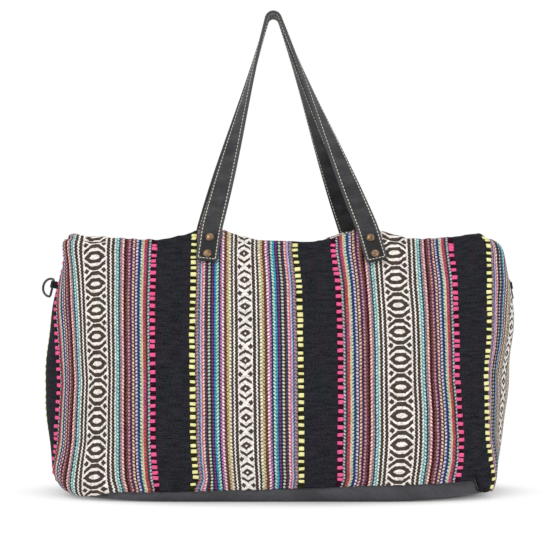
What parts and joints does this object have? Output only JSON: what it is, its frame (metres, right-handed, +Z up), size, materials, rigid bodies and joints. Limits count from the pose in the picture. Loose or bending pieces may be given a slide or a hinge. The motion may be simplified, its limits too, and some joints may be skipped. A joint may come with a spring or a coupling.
{
  "type": "duffle bag",
  "caption": "Soft rectangular duffle bag in striped woven cotton with a canvas base, a top zip, riveted leather strap handles and an end ring.",
  "frame": {"origin": "centre of the flat base, on the surface the bag stands on", "axes": "+Z up, +X along the bag to the right as seen from its front, the front faces -Y"},
  "size_m": [0.5646, 0.2422, 0.569],
  "materials": {
    "woven_cotton": "heavy hand-loomed cotton in vertical stripes, matt",
    "canvas": "charcoal cotton canvas, matt",
    "lining_cotton": "plain cotton lining, matt",
    "zip_tape": "woven zip tape",
    "zip_coil": "nylon coil",
    "gunmetal": "dark gunmetal plate, satin",
    "black_leather": "smooth black leather with a soft grey sheen",
    "antique_brass": "aged brass, worn"
  },
  "bodies": {
    "bag": {"front_panel": "woven_cotton", "back_panel": "woven_cotton", "base_panel": "canvas", "ring_tab_left": "canvas", "ring_tab_right": "canvas", "lining": "lining_cotton", "zip_tape_front": "zip_tape", "zip_tape_back": "zip_tape", "zip_coil_front": "zip_coil", "zip_coil_back": "zip_coil", "zip_stop_left": "gunmetal", "zip_stop_right": "gunmetal", "front_handle_tab_left": "black_leather", "front_handle_tab_right": "black_leather", "back_handle_tab_left": "black_leather", "back_handle_tab_right": "black_leather", "rivet_cap_front_left_lower": "antique_brass", "rivet_cap_front_left_upper": "antique_brass", "rivet_cap_front_right_lower": "antique_brass", "rivet_cap_front_right_upper": "antique_brass", "rivet_cap_back_left_lower": "antique_brass", "rivet_cap_back_left_upper": "antique_brass", "rivet_cap_back_right_lower": "antique_brass", "rivet_cap_back_right_upper": "antique_brass", "rivet_burr_front_left_lower": "antique_brass", "rivet_burr_front_left_upper": "antique_brass", "rivet_burr_front_right_lower": "antique_brass", "rivet_burr_front_right_upper": "antique_brass", "rivet_burr_back_left_lower": "antique_brass", "rivet_burr_back_left_upper": "antique_brass", "rivet_burr_back_right_lower": "antique_brass", "rivet_burr_back_right_upper": "antique_brass"},
    "front_handle": {"front_handle_strap": "black_leather"},
    "back_handle": {"back_handle_strap": "black_leather"},
    "slider": {"zip_slider": "gunmetal", "zip_slider_base": "gunmetal"},
    "pull": {"zip_pull": "gunmetal"},
    "left_ring": {"ring_left": "gunmetal"},
    "right_ring": {"ring_right": "gunmetal"}
  },
  "joints": [
    {"name": "front_handle_swing", "type": "hinge", "parent": "bag", "child": "front_handle", "pos_m": [0, -0.10245, 0.31235], "axis": [1, 0, 0], "range_deg": [0, 180]},
    {"name": "back_handle_swing", "type": "hinge", "parent": "bag", "child": "back_handle", "pos_m": [0, 0.1028, 0.3125], "axis": [-1, 0, 0], "range_deg": [0, 180]},
    {"name": "zip_slide", "type": "slide", "parent": "bag", "child": "slider", "axis": [1, 0, 0], "range_m": [-0.345, 0]},
    {"name": "pull_swing", "type": "hinge", "parent": "slider", "child": "pull", "pos_m": [0.1715, 0, 0.29394], "axis": [0, 1, 0], "range_deg": [0, 180]},
    {"name": "left_ring_swing", "type": "hinge", "parent": "bag", "child": "left_ring", "pos_m": [-0.26895, 0, 0.24578], "axis": [0.2221, 0, 0.975], "range_deg": [-59, 121]},
    {"name": "right_ring_swing", "type": "hinge", "parent": "bag", "child": "right_ring", "pos_m": [0.27654, 0, 0.24437], "axis": [-0.2007, 0, 0.9796], "range_deg": [-174, 6]}
  ]
}
